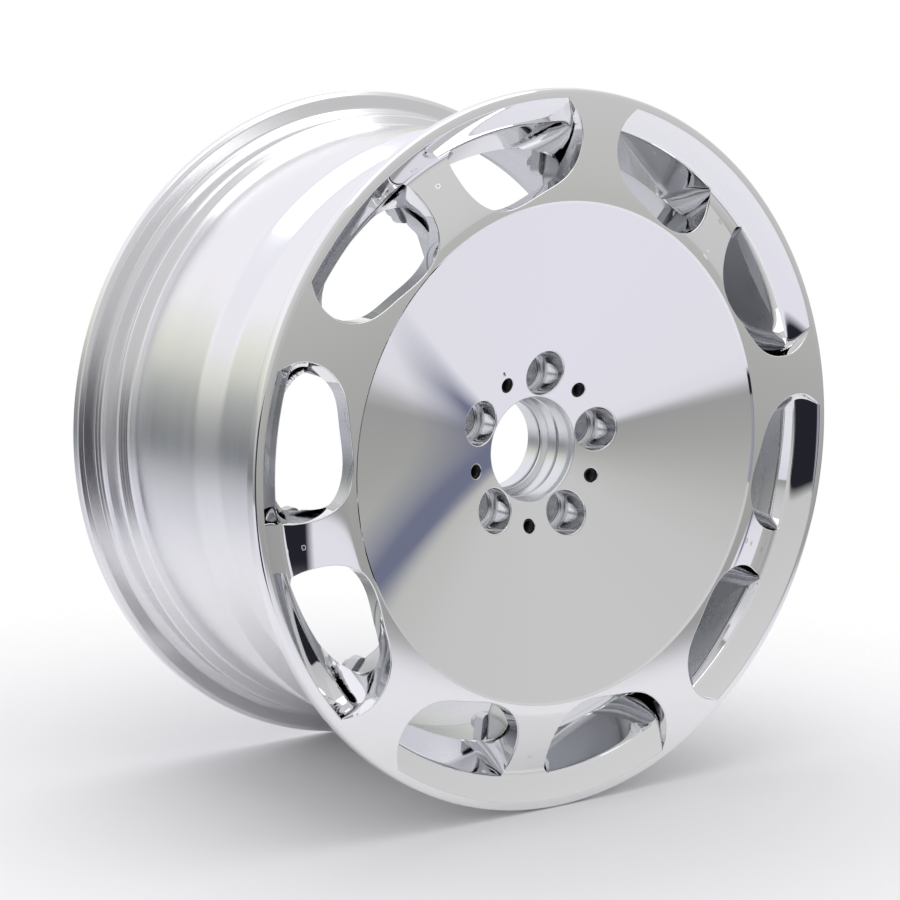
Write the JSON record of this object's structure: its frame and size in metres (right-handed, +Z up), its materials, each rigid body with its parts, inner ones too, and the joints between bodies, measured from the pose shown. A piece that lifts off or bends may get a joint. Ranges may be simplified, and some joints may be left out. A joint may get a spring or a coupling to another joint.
{
  "type": "forged wheel rim",
  "caption": "Forged racing wheel rim: a polished face with windows at its edge, bolted to a turned barrel, with a bored hub, lug seats and a capped tyre valve.",
  "frame": {"origin": "on the wheel axis, midway between the front of the face and the rear flange", "axes": "+Y along the wheel axis towards the car, polished face towards -Y, +Z up"},
  "size_m": [0.5172, 0.2642, 0.5172],
  "materials": {
    "polished_alloy": "mirror polished forging",
    "turned_alloy": "fine turned and polished",
    "ring_alloy": "satin machined",
    "zinc_steel": "zinc plated, satin",
    "black_steel": "black oxide",
    "brass": "machined",
    "rubber": "matt black"
  },
  "bodies": {
    "wheel": {"wheel_face": "polished_alloy", "barrel": "turned_alloy", "rim_seal": "rubber", "hub_ring": "ring_alloy", "lug_seat_1": "zinc_steel", "thread_insert_1": "black_steel", "lug_seat_2": "zinc_steel", "thread_insert_2": "black_steel", "lug_seat_3": "zinc_steel", "thread_insert_3": "black_steel", "lug_seat_4": "zinc_steel", "thread_insert_4": "black_steel", "lug_seat_5": "zinc_steel", "thread_insert_5": "black_steel", "rim_bolt_01": "zinc_steel", "rim_bolt_02": "zinc_steel", "rim_bolt_03": "zinc_steel", "rim_bolt_04": "zinc_steel", "rim_bolt_05": "zinc_steel", "rim_bolt_06": "zinc_steel", "rim_bolt_07": "zinc_steel", "rim_bolt_08": "zinc_steel", "rim_bolt_09": "zinc_steel", "rim_bolt_10": "zinc_steel", "rim_bolt_11": "zinc_steel", "rim_bolt_12": "zinc_steel", "rim_bolt_13": "zinc_steel", "rim_bolt_14": "zinc_steel", "rim_bolt_15": "zinc_steel", "rim_bolt_16": "zinc_steel", "rim_bolt_17": "zinc_steel", "rim_bolt_18": "zinc_steel", "rim_bolt_19": "zinc_steel", "rim_bolt_20": "zinc_steel", "valve_grommet": "rubber", "valve_stem": "ring_alloy", "valve_nut": "zinc_steel", "valve_core": "brass"},
    "valve_pin": {"valve_pin": "brass"},
    "valve_cap": {"valve_cap": "ring_alloy"}
  },
  "joints": [
    {"name": "valve_pin_press", "type": "slide", "parent": "wheel", "child": "valve_pin", "axis": [0.8643, 0, 0.503], "range_m": [0, 0.0015], "stiffness_N_per_m": 400, "springref_m": -0.001},
    {"name": "valve_cap_off", "type": "slide", "parent": "wheel", "child": "valve_cap", "axis": [-0.8643, 0, -0.503], "range_m": [0, 0.016]}
  ]
}
